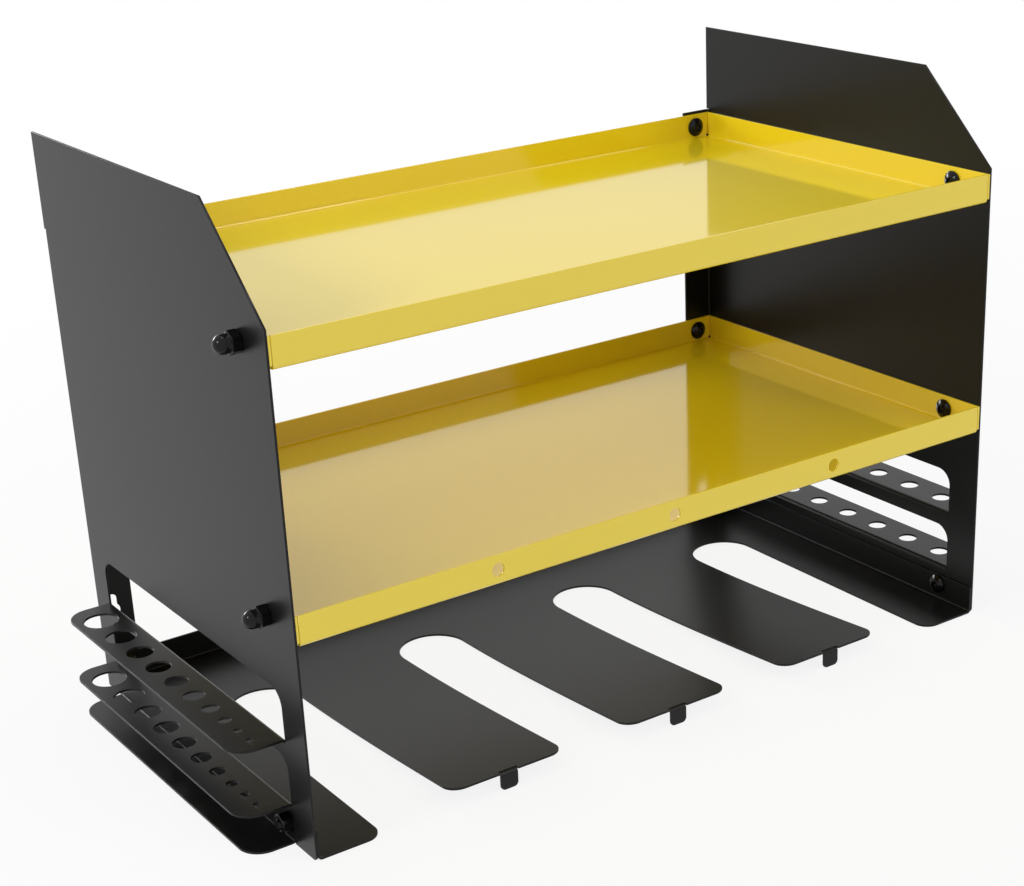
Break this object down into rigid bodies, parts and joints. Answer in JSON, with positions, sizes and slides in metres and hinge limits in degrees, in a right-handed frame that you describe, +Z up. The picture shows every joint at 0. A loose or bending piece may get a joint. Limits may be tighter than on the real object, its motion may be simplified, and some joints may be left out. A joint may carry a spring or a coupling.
{
  "type": "wall-mounted drill holder",
  "caption": "Bolted sheet-steel wall rack: black side panels with tool racks, yellow trays and a slotted black plate that drills hang in.",
  "frame": {"origin": "on the wall's face (the back of the rear flanges), midway between the side panels and midway between the lower and the upper keyholes", "axes": "+X to the right as seen from the room, +Y into the wall, +Z up"},
  "size_m": [0.4824, 0.243, 0.306],
  "materials": {
    "black_powder_coat": "satin powder coat",
    "yellow_paint": "gloss",
    "black_fastener": "black oxide"
  },
  "bodies": {
    "root": {"left_side_panel": "black_powder_coat", "right_side_panel": "black_powder_coat", "top_shelf": "yellow_paint", "lower_shelf": "yellow_paint", "drill_plate": "black_powder_coat", "top_shelf_side_screw_left": "black_fastener", "top_shelf_side_screw_right": "black_fastener", "top_shelf_side_nut_left": "black_fastener", "top_shelf_side_nut_right": "black_fastener", "top_shelf_rear_screw_left": "black_fastener", "top_shelf_rear_screw_right": "black_fastener", "top_shelf_rear_nut_left": "black_fastener", "top_shelf_rear_nut_right": "black_fastener", "lower_shelf_side_screw_left": "black_fastener", "lower_shelf_side_screw_right": "black_fastener", "lower_shelf_side_nut_left": "black_fastener", "lower_shelf_side_nut_right": "black_fastener", "lower_shelf_rear_screw_left": "black_fastener", "lower_shelf_rear_screw_right": "black_fastener", "lower_shelf_rear_nut_left": "black_fastener", "lower_shelf_rear_nut_right": "black_fastener", "drill_plate_side_screw_left": "black_fastener", "drill_plate_side_screw_right": "black_fastener", "drill_plate_side_nut_left": "black_fastener", "drill_plate_side_nut_right": "black_fastener", "drill_plate_rear_screw_left": "black_fastener", "drill_plate_rear_screw_right": "black_fastener", "drill_plate_rear_nut_left": "black_fastener", "drill_plate_rear_nut_right": "black_fastener"}
  },
  "joints": []
}
